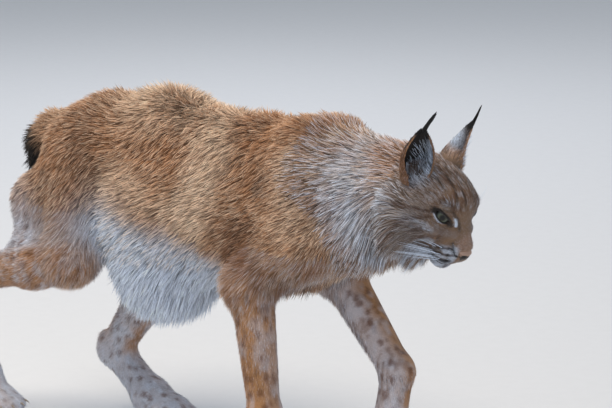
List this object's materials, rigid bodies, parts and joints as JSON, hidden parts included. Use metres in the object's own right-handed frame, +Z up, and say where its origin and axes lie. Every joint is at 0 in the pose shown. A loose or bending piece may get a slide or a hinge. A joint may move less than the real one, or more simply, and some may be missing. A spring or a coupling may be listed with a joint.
{
  "type": "eurasian lynx",
  "caption": "Life-size still model of a lynx in mid stride, with a short dark-tipped tail, tufted ears and a cheek ruff, that stands on its own feet.",
  "frame": {"origin": "middle of the animal's bounding box, on the floor under the paws", "axes": "+X the way the animal faces, +Y to its left, +Z up"},
  "size_m": [1.0482, 0.2784, 0.6326],
  "materials": {
    "coat_rufous": "thick fur, matt",
    "coat_pale": "short pale fur, matt",
    "coat_black": "black fur, matt",
    "nose_leather": "moist bare skin",
    "eye_cornea": "wet, clear over a pale iris"
  },
  "bodies": {
    "root": {"torso": "coat_rufous", "neck": "coat_rufous", "head": "coat_rufous", "nose": "nose_leather", "eye_left": "eye_cornea", "eye_right": "eye_cornea", "ear_left": "coat_pale", "ear_right": "coat_pale", "tail_base": "coat_rufous", "tail_tip": "coat_black", "upper_foreleg_left": "coat_rufous", "forearm_left": "coat_rufous", "forepaw_left": "coat_pale", "thigh_left": "coat_rufous", "shank_left": "coat_rufous", "hindpaw_left": "coat_pale", "upper_foreleg_right": "coat_rufous", "forearm_right": "coat_rufous", "forepaw_right": "coat_pale", "thigh_right": "coat_rufous", "shank_right": "coat_rufous", "hindpaw_right": "coat_pale"}
  },
  "joints": []
}
